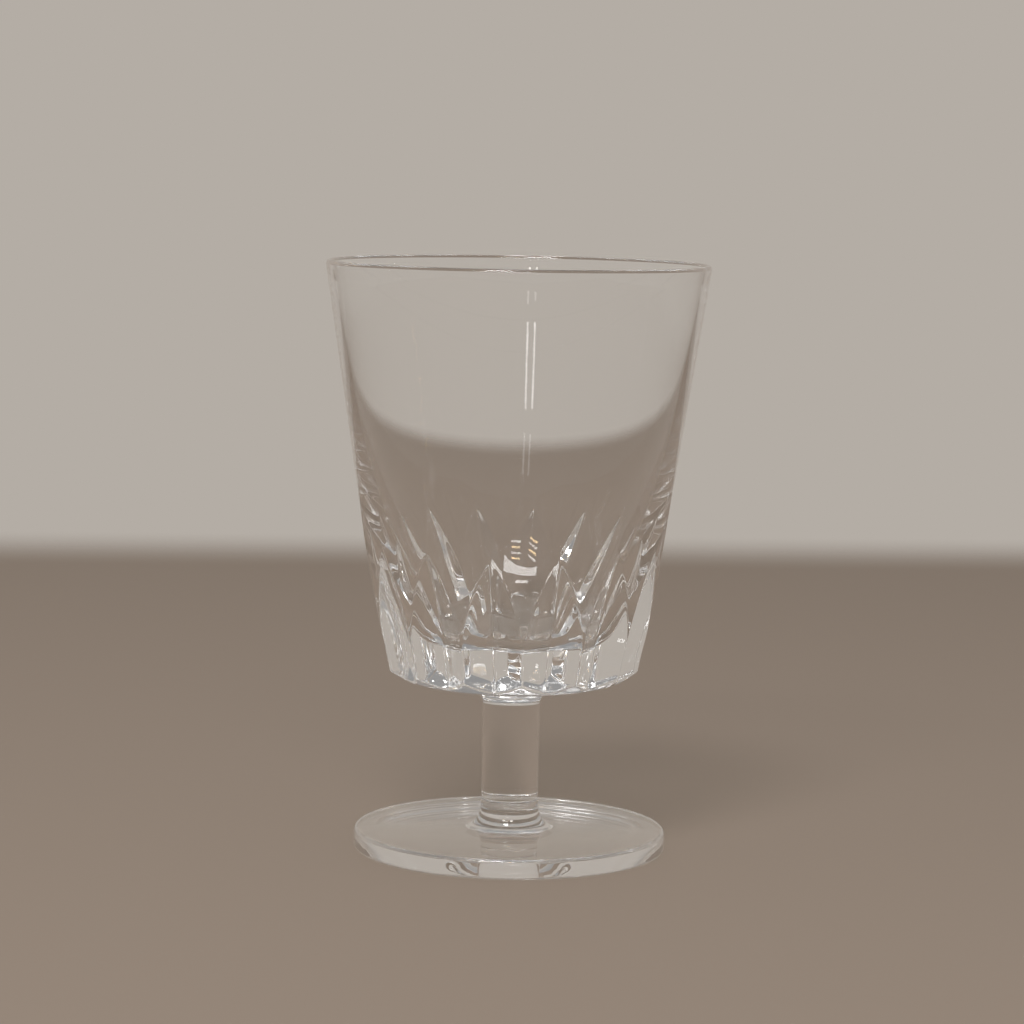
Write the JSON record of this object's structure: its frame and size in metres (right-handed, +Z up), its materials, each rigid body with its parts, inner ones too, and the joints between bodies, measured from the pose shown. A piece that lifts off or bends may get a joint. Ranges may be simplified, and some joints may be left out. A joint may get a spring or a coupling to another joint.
{
  "type": "stemmed sherbet glass",
  "caption": "Clear crystal sherbet glass: a conical bowl with mitre cuts round its thick base, a short solid stem and a round foot.",
  "frame": {"origin": "centre of the foot's standing ring, on the surface that the glass stands on", "axes": "+Z up along the axis of the stem and bowl; one of the bowl's cuts faces each of +X and -X, and a ridge between two cuts faces each of +Y and -Y"},
  "size_m": [0.078, 0.078, 0.12],
  "materials": {
    "foot_crystal": "clear colourless crystal, fire-polished",
    "stem_crystal": "clear colourless crystal, fire-polished",
    "bowl_crystal": "clear colourless crystal, with polished mitre cuts"
  },
  "bodies": {
    "root": {"foot": "foot_crystal", "stem": "stem_crystal", "bowl": "bowl_crystal"}
  },
  "joints": []
}
